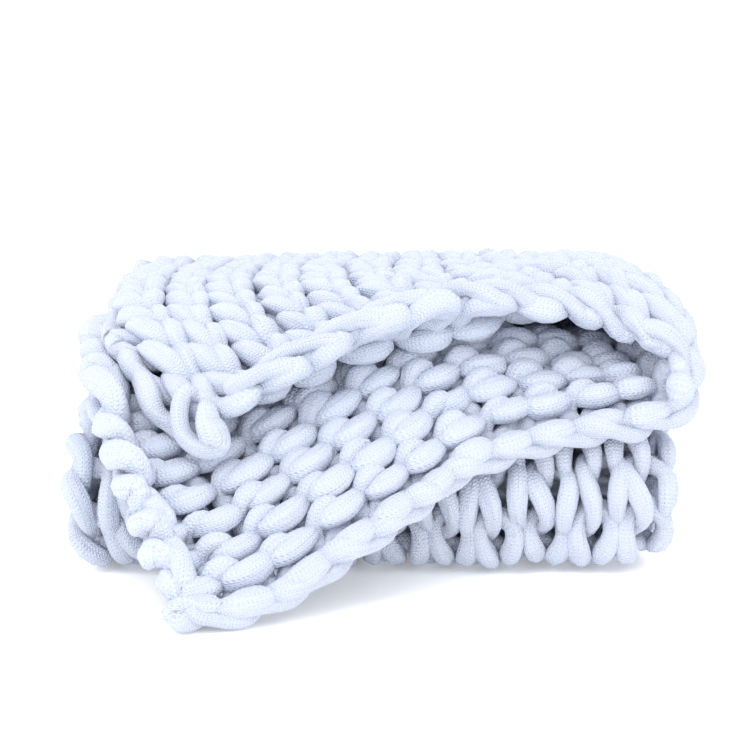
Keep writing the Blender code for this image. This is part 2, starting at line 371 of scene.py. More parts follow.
# The stage
FLOOR_RADIUS = 12.0
FLOOR_CORNERS = 96
FLOOR_COLOUR = (0.98, 0.98, 0.985, 1.0)
FLOOR_ROUGHNESS = 0.9
WHITE = (1.0, 1.0, 1.0, 1.0)
KEY_PLACE = Vector((-0.7, -1.4, 2.0))  # from the middle of the throw
KEY_SIZE = 1.2
KEY_ENERGY = 14


def smooth(t):
    """Smooth step from 0 to 1, for numbers or arrays between them."""
    return t * t * (3 - 2 * t)


def ease(t):
    """The smooth step, staying at 0 before it and at 1 after it."""
    return smooth(min(max(t, 0.0), 1.0))


def between(first, second, share):
    """The value that lies at this share of the way from the first to the second."""
    return first + (second - first) * share


def hermite(t, start, start_slope, end, end_slope):
    """Cubic from start to end, for numbers or vectors."""
    return (
        start * (2 * t**3 - 3 * t**2 + 1)
        + start_slope * (t**3 - 2 * t**2 + t)
        + end * (3 * t**2 - 2 * t**3)
        + end_slope * (t**3 - t**2)
    )


def slope(rows, i, column):
    """Slope of a column at row i of a table, flat where the column turns, so nothing overshoots."""
    near = rows[max(i - 1, 0) : i + 2]
    rises = [(b[column] - a[column]) / (b[0] - a[0]) for a, b in zip(near, near[1:])]
    before, after = rises[0], rises[-1]
    return 2 * before * after / (before + after) if before * after > 0 else 0.0


def along(rows, key):
    """The row that lies at key in a table, by the table's first column."""
    i = min(max(bisect.bisect([row[0] for row in rows], key) - 1, 0), len(rows) - 2)
    width = rows[i + 1][0] - rows[i][0]
    t = min(max((key - rows[i][0]) / width, 0.0), 1.0)
    values = [
        hermite(
            t,
            rows[i][column],
            slope(rows, i, column) * width,
            rows[i + 1][column],
            slope(rows, i + 1, column) * width,
        )
        for column in range(1, len(rows[0]))
    ]
    return type(rows[0])(key, *values)


def read(rows, column, keys):
    """A column of a table at these keys, on straight lines between its rows."""
    return np.interp(keys, [row[0] for row in rows], [getattr(row, column) for row in rows])


def lifted(x, y, z):
    """Height of a layer that would be at z in a flat stack."""
    loft = along(LOFTS, y)
    factor = loft.middle
    factor += (loft.left - loft.middle) * ease((LOFT_MIDDLE - x) / LEFT_FADE)
    factor += (loft.right - loft.middle) * ease((x - LOFT_MIDDLE) / RIGHT_FADE)
    return THICKNESS / 2 + (z - HALF_GAP) * factor


def under_run(across, course, off):
    """A leaf below the top: off is its distance from the middle of the doubled cloth."""
    if course <= FRONT_TURN_AT:
        y = between(CAST_ON, FRONT, course / BOTTOM_RUN)
        z = LAYER + off
    elif course <= MIDDLE_RUN_AT:
        # The outer leaf's turn is squarer at the bottom
        turn = math.pi * (course - FRONT_TURN_AT) / TURN
        radius = LAYER - off
        square = 0.0 if off > 0 else SQUARE * (1 - ease(turn / ROUND_FROM))
        power = 1 - square
        y = FRONT - radius * abs(math.sin(turn)) ** power
        rise = math.copysign(abs(math.cos(turn)) ** power, math.cos(turn))
        z = 2 * LAYER - radius * rise
    elif course <= BACK_TURN_AT:
        y = between(FRONT, BACK, (course - MIDDLE_RUN_AT) / MIDDLE_RUN)
        z = 3 * LAYER - off
    else:
        turn = math.pi * (course - BACK_TURN_AT) / TURN
        radius = LAYER + off
        y = BACK + radius * math.sin(turn)
        z = 4 * LAYER - radius * math.cos(turn)
    side = along(SIDES, course)
    x = between(side.left, side.fold, across)
    return Vector((x, y, lifted(x, y, z)))


def top_start(across):
    """Where a wale leaves the back turn, seen from above."""
    return Vector((between(SIDES[-1].left, SIDES[-1].fold, across), BACK, 0.0))


def lower_top(across, course):
    """The lower leaf's top run: it slants forward, over the front turn and down."""
    edge = along(LOWER_EDGE, across)
    step = Vector((edge.lean * edge.step, edge.step, 0.0))
    front = Vector((edge.x, edge.y, 0.0))
    left = COURSES - course
    if left <= STRAIGHT:
        place = front + step * left
    else:
        start = top_start(across)
        end = front + step * STRAIGHT
        courses = TOP_RUN - STRAIGHT
        way = end - start
        leave = Vector((LOWER_SWING[0] * way.x, LOWER_SWING[1] * way.length, 0.0))
        place = hermite((TOP_RUN - left) / courses, start, leave, end, -step * courses)
    on_stack = lifted(place.x, place.y, HALF_GAP + 4 * LAYER)
    sag = ease((LOFT_MIDDLE - place.x) / SAG_WIDTH) * ease((place.y - DROPS[1].y) / SAG_LENGTH)
    in_front = along(DROPS, place.y).z - DROP_SAG * sag
    share = ease((place.y - DROP_BLEND[0]) / (DROP_BLEND[1] - DROP_BLEND[0]))
    place.z = between(in_front, on_stack, share)
    return place


def upper_top(across, course):
    """The upper leaf's top run: it comes forward on the stack and its edge curls up."""
    edge = along(UPPER_EDGE, across)
    pitch = math.radians(edge.pitch)
    level = Vector((-edge.slant, -1.0, 0.0)).normalized()
    ahead = level * math.cos(pitch) + Vector((0.0, 0.0, math.sin(pitch)))
    start = top_start(across)
    start.z = lifted(start.x, start.y, HALF_GAP + 5 * LAYER)
    end = Vector((edge.x, edge.y, edge.z))
    way = end - start
    left = COURSES - course
    flat_courses = TOP_RUN - ROLLED
    leave = Vector((-UPPER_SWING * way.x / way.y, -1.0, 0.0)) * way.length
    arrive = ahead * min(way.length, flat_courses * COURSE) * ARRIVE
    place = hermite(1 - max(left - ROLLED, 0.0) / flat_courses, start, leave, end, arrive)
    if left < ROLLED:
        radius = ROLLED * COURSE / math.radians(edge.roll)
        angle = math.radians(edge.roll) * (ROLLED - left) / ROLLED
        across_edge = ahead.cross(Vector((0.0, 0.0, 1.0))).normalized()
        up = across_edge.cross(ahead)
        place += ahead * radius * math.sin(angle) + up * radius * (1 - math.cos(angle))
    return place


def leaf(across, course, upper):
    """A point of one leaf: across is 0 at its selvedge and 1 at the lengthwise fold."""
    if course <= TOP_RUN_AT:
        return under_run(across, course, HALF_GAP if upper else -HALF_GAP)
    return upper_top(across, course) if upper else lower_top(across, course)


def cloth(wale, course):
    """The middle of the cloth's thickness, at a wale and a course."""
    if wale <= LEAF:
        place = leaf(wale / LEAF, course, upper=False)
    elif wale >= WALES - LEAF:
        place = leaf((WALES - wale) / LEAF, course, upper=True)
    else:
        low = leaf(1.0, course, upper=False)
        high = leaf(1.0, course, upper=True)
        reach = (high - low) / 2
        angle = math.pi * (wale - LEAF) / (2 * HALF_FOLD)
        place = (low + high) / 2 - reach * math.cos(angle)
        place.x += reach.length * math.sin(angle)
    return place - BOX_CENTRE


def run_on(grid, lines):
    """The grid with straight lines added before and after its first axis."""
    before = [grid[0] + (grid[0] - grid[1]) * (i + 1) for i in reversed(range(lines))]
    after = [grid[-1] + (grid[-1] - grid[-2]) * (i + 1) for i in range(lines)]
    return np.concatenate([before, grid, after])


def unit(vectors):
    """The vectors at length 1."""
    return vectors / np.maximum(np.linalg.norm(vectors, axis=-1, keepdims=True), SHORTEST)


def curve_weights(t):
    """Catmull-Rom weights of four points in a row, at t from the second to the third."""
    return 0.5 * np.stack(
        [
            -t + 2 * t**2 - t**3,
            2 - 5 * t**2 + 3 * t**3,
            t + 4 * t**2 - 3 * t**3,
            -(t**2) + t**3,
        ]
    )


def upper_share(wale, fade):
    """0 on the lower leaf and 1 on the upper one, with fade wales between on either side."""
    return np.clip((wale - WALES / 2) / (2 * fade) + 0.5, 0.0, 1.0)


def crowded(wale, course):
    """Where a course lies in the cloth: the top run's courses crowd to one end."""
    amount = between(LOWER_CROWDING, UPPER_CROWDING, upper_share(wale, CROWDING_FADE))
    t = np.clip((course - TOP_RUN_AT) / TOP_RUN, 0.0, 1.0)
    return course + TOP_RUN * amount * t * (1 - t)


def gathered(wale, course):
    """Where a wale lies in the cloth: the opening fold draws the wales beside it in."""
    share = np.clip((course - FOLD_OPENS[0]) / (FOLD_OPENS[1] - FOLD_OPENS[0]), 0.0, 1.0)
    takes = FOLD_TAKES * smooth(share)
    half = WALES / 2
    away = wale - half
    return half + (away - takes * np.tanh(away / FOLD_SPREAD)) * half / (half - takes)


def taken_up(wale, roll):
    """Where a wale lies on the cloth before its selvedges roll: the roll takes up some width."""
    low = wale <= WALES / 2
    rolls, radius, middle = roll.low_wales, roll.low_radius, WALES / 2
    if not low:
        rolls, radius = roll.up_wales, roll.up_radius
        wale = WALES - wale
    edge = (radius + YARN_PROUD) / WALE
    place = max(edge + (middle - edge) * (wale - rolls) / (middle - rolls), 0.0)
    return place if low else WALES - place


def drawn_out(points, outs):
    """The grid with its first lines drawn outward, on each course, fading over some wales."""
    fade = np.clip(1 - (np.arange(len(points)) / PER_WALE - MARGIN) / OUT_REACH, 0.0, 1.0)
    edge = (MARGIN + 1) * PER_WALE
    outward = unit(points[edge] - points[edge + PER_WALE])
    return points + smooth(fade)[:, None, None] * outward * outs[:, None]


def rolled(points, wales, radii):
    """The grid with its first lines rolled up towards the purl side, on each course."""
    across, ahead = np.gradient(points, axis=(0, 1))
    purl = -unit(np.cross(across, ahead))
    result = points.copy()
    for j, (reach, radius) in enumerate(zip(wales, radii)):
        last = MARGIN * PER_WALE + int(round(reach * PER_WALE))
        pivot = points[last, j]
        outward = unit(pivot - points[last + PER_WALE, j])
        up = unit(purl[last + 1, j] - outward * np.dot(purl[last + 1, j], outward))
        for i in range(last):
            way = (last - i) / PER_WALE * WALE * ROLL_TAKES
            angle = way / radius
            result[i, j] = pivot + outward * radius * math.sin(angle)
            result[i, j] += up * radius * (1 - math.cos(angle))
    return result


class FoldedCloth:
    """The folded cloth as a grid of points and knit-side normals, read smoothly anywhere."""

    def __init__(self):
        courses = [c / PER_COURSE for c in range(COURSES * PER_COURSE + 1)]
        wales = [w / PER_WALE for w in range(WALES * PER_WALE + 1)]
        rolls = [along(ROLLS, course) for course in courses]
        self.points = np.array(
            [[cloth(taken_up(w, r), c) for c, r in zip(courses, rolls)] for w in wales]
        )
        self.points = run_on(self.points, MARGIN * PER_WALE)
        self.points = run_on(self.points.swapaxes(0, 1), MARGIN * PER_COURSE).swapaxes(0, 1)
        lines = np.arange(self.points.shape[1]) / PER_COURSE - MARGIN
        self._draw_in(lines)
        self._swell(lines)
        self._roll(lines)
        across, ahead = np.gradient(self.points, axis=(0, 1))
        self.normals = unit(np.cross(across, ahead))

    def _draw_in(self, lines):
        """Presses the lengthwise fold flatter."""
        opening = np.clip((lines - TOP_RUN_AT) / TOP_RUN, 0.0, 1.0)
        drawn_in = between(FOLD_DRAWN_IN, OPEN_FOLD_DRAWN_IN, opening)
        self.points[..., 0] -= drawn_in * np.clip(self.points[..., 0] / FOLD_REACH, 0.0, 1.0)

    def _swell(self, lines):
        """Pushes the cloth up and down."""
        wale = np.arange(len(self.points))[:, None] / PER_WALE - MARGIN
        for swell in SWELLS:
            across = (wale - swell.wale) / swell.across
            ahead = (lines - swell.course) / swell.ahead
            self.points[..., 2] += swell.rise * np.exp(-(across**2) - ahead**2)

    def _roll(self, lines):
        """Rolls both selvedges."""
        rolls = np.array([along(ROLLS, course) for course in lines])
        _, low_wales, low_radii, low_outs, up_wales, up_radii, up_outs = rolls.T
        low = rolled(drawn_out(self.points, low_outs), low_wales, low_radii)
        # The other selvedge is the same grid read backwards, both ways to keep the purl side
        up = drawn_out(low[::-1, ::-1], up_outs[::-1])
        self.points = rolled(up, up_wales[::-1], up_radii[::-1])[::-1, ::-1]

    @staticmethod
    def _weights(places, lines):
        """The first of four lines round each place, and their weights."""
        first = np.clip(np.floor(places).astype(int) - 1, 0, lines - 4)
        return first, curve_weights(places - first - 1)

    def at(self, wale, course, height=0.0):
        """Points at these wales and courses, height above the middle on the knit side."""
        columns, rows = self.points.shape[:2]
        i, across = self._weights((gathered(wale, course) + MARGIN) * PER_WALE, columns)
        j, ahead = self._weights((crowded(wale, course) + MARGIN) * PER_COURSE, rows)
        point = normal = 0.0
        for a in range(4):
            for b in range(4):
                weight = (across[a] * ahead[b])[..., None]
                point = point + self.points[i + a, j + b] * weight
                normal = normal + self.normals[i + a, j + b] * weight
        normal = unit(normal)
        return point + normal * np.asarray(height)[..., None], normal


@functools.cache
def folded():
    """The folded cloth, made once."""
    return FoldedCloth()


def strays(seed, count, per_step, yarn):
    """Draws smooth random lines: a new value every step, with per_step points to a step."""
    rng = np.random.default_rng(yarn.seed + seed)
    place = np.arange(count * per_step + 1) / per_step
    i = np.minimum(place.astype(int), count - 1)

    def stray(spread):
        values = rng.normal(0.0, spread * yarn.unevenness, count + 1)
        return between(values[i], values[i + 1], smooth(place - i))

    return stray


def course_path(course, per_loop, yarn):
    """One course of loops along the yarn, as (wale, course, height, thickness), from wale 0 up."""
    stray = strays(course, 2 * WALES, per_loop // 2, yarn)
    turn = np.linspace(0.0, 2 * math.pi * WALES, WALES * per_loop + 1)
    head = (1 - np.cos(turn)) / 2
    sway = between(FOOT_SWAY, HEAD_SWAY, head) * np.sin(2 * turn)
    sway = sway + LOOP_LEAN * (head - 0.5) - HEAD_SHARE * np.sin(turn)
    wale = turn / (2 * math.pi) * (WALES - 2 * SELVEDGE_INSET) / WALES + SELVEDGE_INSET
    wale = wale + (sway + stray(SIDEWAYS_STRAY)) / WALE
    upper = upper_share(wale, LEAF_FADE)
    half_height = between(LOW_HALF_HEIGHT, UP_HALF_HEIGHT, upper)
    place = course + FIRST_AT - half_height / COURSE * np.cos(turn)
    place = place + stray(FORWARD_STRAY) / COURSE
    face = np.cos(2 * turn)
    face = face * (1 + between(LOW_FLATNESS, UP_FLATNESS, upper) * (1 - face**2))
    height = -LOOP_DEPTH * face + stray(DEPTH_STRAY)
    thick = 1 + LOOP_SWELL * np.cos(4 * turn) + stray(THICKNESS_STRAY)
    thick = thick + HEAD_SWELL * (2 * head - 1)
    thick = thick + LOW_EDGE_SWELL * np.exp(-((wale / EDGE_REACH) ** 2))
    thick = thick + UP_EDGE_SWELL * np.exp(-(((WALES - wale) / EDGE_REACH) ** 2))
    return np.stack([wale, place, height, thick], axis=-1)


def turn_path(start, end, side, per_loop):
    """The turn of the yarn at a selvedge, from one course to the next."""
    t = np.linspace(0.0, 1.0, per_loop // 2 + 1)[1:-1, None]
    path = between(start, end, t)
    path[:, 0] += side * TURN_REACH / WALE * np.sin(math.pi * t[:, 0])
    return path


def yarn_path(first, last, detail, yarn):
    """The yarn through the courses from first to last, back and forth."""
    parts = []
    for course in range(first, last):
        path = course_path(course, detail.along, yarn)
        forward = course % 2 == 0
        if not forward:
            path = path[::-1]
        if parts:
            side = -1 if forward else 1
            parts.append(turn_path(parts[-1][-1], path[0], side, detail.along))
        parts.append(path)
    path = np.concatenate(parts)
    # Ease the yarn where courses and turns meet
    joins = np.cumsum([len(part) for part in parts])[:-1]
    near = np.min(np.abs(np.arange(len(path))[:, None] - joins), axis=1) <= EASED * detail.along
    for _ in range(EASING):
        eased = path.copy()
        eased[1:-1] = (path[:-2] + 2 * path[1:-1] + path[2:]) / 4
        path = np.where(near[:, None], eased, path)
    return path


def chain_path(chain, strand, yarn):
    """One strand of a chain along an edge, as (wale, course, height, thickness)."""
    stray = strays(CHAIN_SEED + int(chain.course) + strand, chain.links, CHAIN_STEPS, yarn)
    links = np.arange(chain.links * CHAIN_STEPS + 1) / CHAIN_STEPS
    turn = math.pi * (links + strand) + stray(CHAIN_TURN_STRAY)
    radius = CHAIN_RADIUS + stray(CHAIN_RADIUS_STRAY)
    wale = chain.first + links * (chain.last - chain.first) / chain.links
    place = chain.course + chain.past * radius * np.sin(turn) / COURSE
    height = -radius * np.cos(turn)
    thick = CHAIN_THICK + CHAIN_SWELL * np.cos(2 * turn) + stray(CHAIN_THICKNESS_STRAY)
    return np.stack([wale, place, height, thick], axis=-1)


def smooth_line(points, steps):
    """Points on a smooth line through these, with so many steps between each two."""
    padded = run_on(points, 1)
    weights = curve_weights(np.arange(steps) / steps)
    line = sum(
        weight[:, None] * padded[i : len(padded) - 3 + i, None] for i, weight in enumerate(weights)
    )
    return np.concatenate([line.reshape(-1, points.shape[1]), points[-1:]])


def sheet_height(wale, course):
    """How far the inner sheet lies towards the knit side: it keeps behind the face that shows."""
    on_top = np.clip((course - TOP_RUN_AT) / SHEET_TURN_COURSES + 1, 0.0, 1.0)
    side = read(SHEET_TURNS, "side", wale)
    low = 1 - upper_share(wale, LEAF_FADE)
    in_front = np.clip(FRONT_REACH - np.abs(course - FRONT_TURN_AT - TURN / 2), 0.0, 1.0)
    return SHEET_DEPTH * (on_top * (side + 1) - 1) - FRONT_DEPTH * in_front * low


def tube_points(centres, normals, radius, around, yarn):
    """Rings of points round the yarn, and how far along it each ring lies."""
    tangent = unit(np.gradient(centres, axis=0))
    # Where the yarn dives straight through the cloth, its sides follow its neighbours
    side = np.cross(tangent, normals)
    for _ in range(SIDE_SMOOTHING):
        side[1:-1] += side[:-2] + side[2:]
    side = unit(side - tangent * np.sum(side * tangent, axis=-1, keepdims=True))
    up = np.cross(side, tangent)
    length = np.concatenate([[0.0], np.cumsum(np.linalg.norm(np.diff(centres, axis=0), axis=1))])
    angle = np.arange(around + 1) / around * 2 * math.pi
    spin = length[:, None] * FLUTE_TWIST
    wobble = FLUTE_WOBBLE * np.sin(length[:, None] * FLUTE_WOBBLE_RATE)
    flute = 1 + yarn.creasing * (
        BROAD_FLUTE_DEPTH * np.cos(BROAD_FLUTES * angle + spin + wobble)
        + NARROW_FLUTE_DEPTH * np.cos(NARROW_FLUTES * angle - COUNTER_TWIST * spin)
    )
    flute[:, -1] = flute[:, 0]
    to_end = np.minimum(length, length[-1] - length)
    dome = np.sqrt(1 - np.clip(1 - to_end / radius, 0.0, ROUND_END) ** 2)
    ring = (radius * dome)[:, None] * flute
    points = (
        centres[:, None]
        + (ring * np.cos(angle))[..., None] * side[:, None] * yarn.width_share
        + (ring * np.sin(angle))[..., None] * up[:, None] * yarn.height_share
    )
    points[..., 2] = np.maximum(points[..., 2], GROUND_GAP)
    return points, length


def grid_mesh(name, columns, rows):
    """A flat grid of faces, and how far across and up it each of its points lies, from 0 to 1."""
    grid = bmesh.new()
    bmesh.ops.create_grid(grid, x_segments=columns, y_segments=rows, size=0.5)
    mesh = bpy.data.meshes.new(name)
    grid.to_mesh(mesh)
    grid.free()
    flat = np.empty(len(mesh.vertices) * 3, np.float32)
    mesh.vertices.foreach_get("co", flat)
    return mesh, flat.reshape(-1, 3)[:, :2] + 0.5


def place_points(mesh, points):
    """Moves the mesh's points to these places."""
    mesh.vertices.foreach_set("co", points.astype(np.float32).ravel())
    mesh.update()


def tube_mesh(name, centres, normals, radius, around, yarn):
    """A closed tube of yarn along centres. Its flat side faces the normals."""
    points, length = tube_points(centres, normals, radius, around, yarn)
    along_yarn = len(centres) - 1
    mesh, flat = grid_mesh(name, along_yarn, around)
    row = np.rint(flat[:, 0] * along_yarn).astype(int)
    column = np.rint(flat[:, 1] * around).astype(int)
    place_points(mesh, points[row, column])
    corners = np.empty(len(mesh.loops), np.int32)
    mesh.loops.foreach_get("vertex_index", corners)
    uv = np.stack([length[row[corners]], column[corners] / around], axis=-1)
    layer = mesh.uv_layers.new(name=YARN_MAP)
    layer.data.foreach_set("uv", uv.astype(np.float32).ravel())

    closed = bmesh.new()
    closed.from_mesh(mesh)
    bmesh.ops.remove_doubles(closed, verts=closed.verts, dist=MERGE)
    rims = [edge for edge in closed.edges if edge.is_boundary]
    bmesh.ops.holes_fill(closed, edges=rims, sides=0)
    bmesh.ops.recalc_face_normals(closed, faces=closed.faces)
    closed.to_mesh(mesh)
    closed.free()
    mesh.shade_smooth()
    return mesh


def add_object(name, data):
    """Links a new object at the origin, in the place of an older one of that name."""
    old = bpy.data.objects.get(name)
    if old:
        bpy.data.objects.remove(old, do_unlink=True)
    new = bpy.data.objects.new(name, data)
    bpy.context.scene.collection.objects.link(new)
    return new


def add_piece(name, mesh, material):
    """Adds a finished piece, riding on the throw."""
    piece = add_object(name, mesh)
    mesh.materials.append(material)
    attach(piece, "root")
    return piece


def add_yarn(name, line, thick, around, yarn, material):
    """Adds a length of yarn along a line: its centres, and the normals of the cloth there."""
    radius = yarn.thickness / 2 * thick
    add_piece(name, tube_mesh(name, *line, radius, around, yarn), material)


class Value:
    """A number in a material, so that shader maths reads as Python."""

    def __init__(self, nodes, socket):
        self.nodes = nodes
        self.socket = socket

    def __add__(self, other):
        return self.nodes.math("ADD", self, other)

    __radd__ = __add__

    def __mul__(self, other):
        return self.nodes.math("MULTIPLY", self, other)

    __rmul__ = __mul__

    def __sub__(self, other):
        return self.nodes.math("SUBTRACT", self, other)

    def __rsub__(self, other):
        return self.nodes.math("SUBTRACT", other, self)


class Nodes:
    """Adds nodes to a material: settings first, then the values or links of its sockets."""

    def __init__(self, material):
        self.tree = material.node_tree

    def add(self, kind, settings=None, **sockets):
        node = self.tree.nodes.new(kind)
        for key, value in (settings or {}).items():
            setattr(node, key, value)
        for key, value in sockets.items():
            self.set(node.inputs[key.replace("_", " ")], value)
        return node

    def set(self, socket, value):
        if isinstance(value, Value):
            value = value.socket
        if isinstance(value, bpy.types.NodeSocket):
            self.tree.links.new(value, socket)
        else:
            socket.default_value = value

    def math(self, operation, *values):
        node = self.add("ShaderNodeMath", {"operation": operation})
        for socket, value in zip(node.inputs, values):
            self.set(socket, value)
        return Value(self, node.outputs[0])

    def split(self, vector):
        """The three numbers of a vector."""
        node = self.add("ShaderNodeSeparateXYZ", Vector=vector)
        return [Value(self, socket) for socket in node.outputs]

    def noise(self, place, scale, detail):
        """Soft clouds between 0 and 1."""
        node = self.add("ShaderNodeTexNoise", Vector=place, Scale=scale, Detail=detail)
        return Value(self, node.outputs[0])

    def bump(self, height, strength, relief, **below):
        """The normal of a surface with this height on it."""
        node = self.add("ShaderNodeBump", Height=height, Strength=strength, Distance=relief, **below)
        return node.outputs["Normal"]

    def share(self, value):
        """The value kept between 0 and 1."""
        return self.math("MINIMUM", self.math("MAXIMUM", value, 0.0), 1.0)

    def wave(self, value):
        """A wave between 0 and 1."""
        return self.math("SINE", value) * 0.5 + 0.5

    def mix(self, share, first, second):
        """The first colour turning into the second."""
        mixed = self.add("ShaderNodeMix", {"data_type": "RGBA"}, Factor=share)
        self.set(mixed.inputs[FIRST_COLOUR], first)
        self.set(mixed.inputs[SECOND_COLOUR], second)
        return mixed.outputs[MIXED_COLOUR]


def clean_material(name, roughness):
    """A material of that name with nothing but its shader."""
    material = bpy.data.materials.get(name) or bpy.data.materials.new(name)
    material.use_nodes = True
    material.node_tree.nodes.clear()
    nodes = Nodes(material)
    shader = nodes.add("ShaderNodeBsdfPrincipled", Roughness=roughness)
    output = nodes.add("ShaderNodeOutputMaterial")
    material.node_tree.links.new(shader.outputs["BSDF"], output.inputs["Surface"])
    return material, nodes, shader


def yarn_material(look):
    """Pale brushed jersey yarn: fine ribs of tiny stitches, soft creases along its length."""
    material, nodes, shader = clean_material("pale_blue_jersey_yarn", look.roughness)
    uv = nodes.add("ShaderNodeUVMap", {"uv_map": YARN_MAP}).outputs["UV"]
    length, around, _ = nodes.split(uv)

    # Tiny stitches: ribs along the yarn, each a row of small beads
    ribs = nodes.math("SINE", around * (2 * math.pi * RIBS))
    beads = nodes.math("SINE", length * (2 * math.pi / BEAD) + ribs * BEAD_SHIFT)
    grain = nodes.math("ABSOLUTE", ribs) * 0.5 + beads * 0.5

    # Soft creases that run along the yarn
    stretched = nodes.add(
        "ShaderNodeCombineXYZ", X=length * CREASES_ALONG, Y=around * CREASES_AROUND
    )
    crease = nodes.noise(stretched.outputs[0], 1.0, CLOUD_DETAIL)
    soft = nodes.bump(crease, CREASE_STRENGTH, CREASE_RELIEF)
    fine = nodes.bump(grain, BEAD_STRENGTH, BEAD_RELIEF, Normal=soft)
    nodes.set(shader.inputs["Normal"], fine)

    # Colour drifts a little from stitch to stitch
    place = nodes.add("ShaderNodeTexCoord").outputs["Object"]
    drift = nodes.noise(place, DRIFT_SCALE, CLOUD_DETAIL)
    colour = nodes.mix(drift, (*look.yarn_shade, 1.0), (*look.yarn_colour, 1.0))
    nodes.set(shader.inputs["Base Color"], colour)
    shader.inputs["Sheen Weight"].default_value = look.sheen
    shader.inputs["Sheen Roughness"].default_value = SHEEN_SPREAD
    return material


def painted_shade_material(look):
    """Painted shade in slate, with pale ridges of painted light for the purl bumps in the front
    turn's open gaps.
    """
    material, nodes, shader = clean_material("slate_blue_painted_shade", SHEET_ROUGHNESS)
    place = nodes.add("ShaderNodeTexCoord").outputs["Object"]
    drift = nodes.noise(place, SLATE_SCALE, SLATE_DETAIL)
    # Painted shade: slate for the dark deep in the knit's gaps, drifting a little in tone
    colour = np.array(look.gap_shade_colour)
    slate = nodes.mix(drift, (*(colour * SLATE_DARK), 1.0), (*colour, 1.0))

    # The front turn's gaps are open to the light: there the painted shade gives way to painted light,
    # pale ridges in the yarn's colour that stand for the purl side of the inner leaf
    _, depth, height = nodes.split(place)
    ridges = nodes.wave(height * (2 * math.pi / RIDGE) + drift * RIDGE_WOBBLE)
    forward = nodes.share((depth + FRONT_GAPS) * -FRONT_SHARPNESS)
    low = nodes.share((height - GAPS_UP_TO) * -TOP_SHARPNESS)
    # Painted light: the ridges take the yarn's colour only where the front turn's gaps are lit
    lit_gap_ridges = forward * low * (ridges * 0.5 + 0.5)
    nodes.set(shader.inputs["Base Color"], nodes.mix(lit_gap_ridges, slate, (*look.yarn_shade, 1.0)))
    nodes.set(shader.inputs["Normal"], nodes.bump(ridges, 1.0, RIDGE_RELIEF))
    return material


class ThrowYarn(bpy.types.PropertyGroup):
    """The yarn and how evenly it is knitted"""

    thickness: FloatProperty(
        name="Yarn thickness", description="Width of the yarn", default=0.0184, unit="LENGTH"
    )
    width_share: FloatProperty(
        name="Width", description="Width of the yarn's section, against round", default=1.03
    )
    height_share: FloatProperty(
        name="Height", description="Height of the yarn's section, against round", default=0.93
    )
    unevenness: FloatProperty(
        name="Unevenness", description="How much the loops differ by hand", default=1.35
    )
    creasing: FloatProperty(
        name="Creasing", description="Depth of the creases along the yarn", default=1.35
    )
    seed: IntProperty(
        name="Seed", description="Picks another set of uneven loops", default=7
    )


class ThrowLook(bpy.types.PropertyGroup):
    """Colours and finish of the yarn"""

    yarn_colour: FloatVectorProperty(
        name="Yarn", description="Colour of the yarn", subtype="COLOR", default=(0.575, 0.624, 0.745)
    )
    # Also the colour of the painted light on the inner sheet's ridges, in the front turn's open gaps
    yarn_shade: FloatVectorProperty(
        name="Yarn shade",
        description="Colour that the yarn drifts to, and of the ridges in the open gaps",
        subtype="COLOR",
        default=(0.538, 0.590, 0.716),
    )
    # Painted shade: the inner sheet's slate, seen through the gaps between the stitches
    gap_shade_colour: FloatVectorProperty(
        name="Gaps",
        description="Colour deep in the gaps",
        subtype="COLOR",
        default=(0.070, 0.098, 0.160),
    )
    roughness: FloatProperty(
        name="Roughness", description="Roughness of the yarn", default=0.92, subtype="FACTOR"
    )
    sheen: FloatProperty(
        name="Sheen", description="Soft light on the yarn's fuzz", default=0.15, subtype="FACTOR"
    )


class ThrowStage(bpy.types.PropertyGroup):
    """The camera and the light"""

    elevation: FloatProperty(
        name="Camera elevation",
        description="How far above the floor the camera looks from",
        default=math.radians(12),
        subtype="ANGLE",
    )
    distance: FloatProperty(
        name="Camera distance", description="From the stack to the camera", default=2.0, unit="LENGTH"
    )
    lens: FloatProperty(
        name="Lens", description="Focal length", default=102.2, unit="CAMERA"
    )
    surround: FloatProperty(
        name="Surround", description="Strength of the white surround", default=1.52
    )
    floor_glow: FloatProperty(
        name="Floor glow", description="Light that the floor gives, as on a light table", default=0.20
    )


class KNIT_OT_shade_sheet(bpy.types.Operator):
    """Lay a thin sheet inside the knit, along all its folds, painted slate as the shade deep in its
    gaps
    """

    bl_idname = "knit.backing"
    bl_label = "Lay shade sheet"

    def execute(self, context):
        mesh, flat = grid_mesh("inner_sheet", WALES * SHEET_PER_STITCH, COURSES * SHEET_PER_STITCH)
        course = between(*SHEET_COURSES, flat[:, 1])
        low = SHEET_INSET + read(ROLLS, "low_wales", course)
        up = SHEET_INSET + read(ROLLS, "up_wales", course)
        wale = low + flat[:, 0] * (WALES - low - up)
        points, _ = folded().at(wale, course, sheet_height(wale, course))
        place_points(mesh, points)
        mesh.shade_smooth()
        sheet = add_piece("inner_sheet", mesh, painted_shade_material(context.scene.throw_look))
        thickness = sheet.modifiers.new("Thickness", "SOLIDIFY")
        thickness.thickness = SHEET_THICKNESS
        thickness.offset = 0.0
        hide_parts("knit_throw")
        return {"FINISHED"}


class KNIT_OT_courses(bpy.types.Operator):
    """Knit the courses, back and forth with one yarn"""

    bl_idname = "knit.courses"
    bl_label = "Knit courses"

    def execute(self, context):
        yarn = context.scene.throw_yarn
        material = yarn_material(context.scene.throw_look)
        for stretch in STRETCHES:
            path = yarn_path(stretch.first, stretch.last, stretch.detail, yarn)
            line = folded().at(*path[:, :3].T)
            thick = stretch.thick * path[:, 3]
            add_yarn(stretch.name, line, thick, stretch.detail.around, yarn, material)
        return {"FINISHED"}


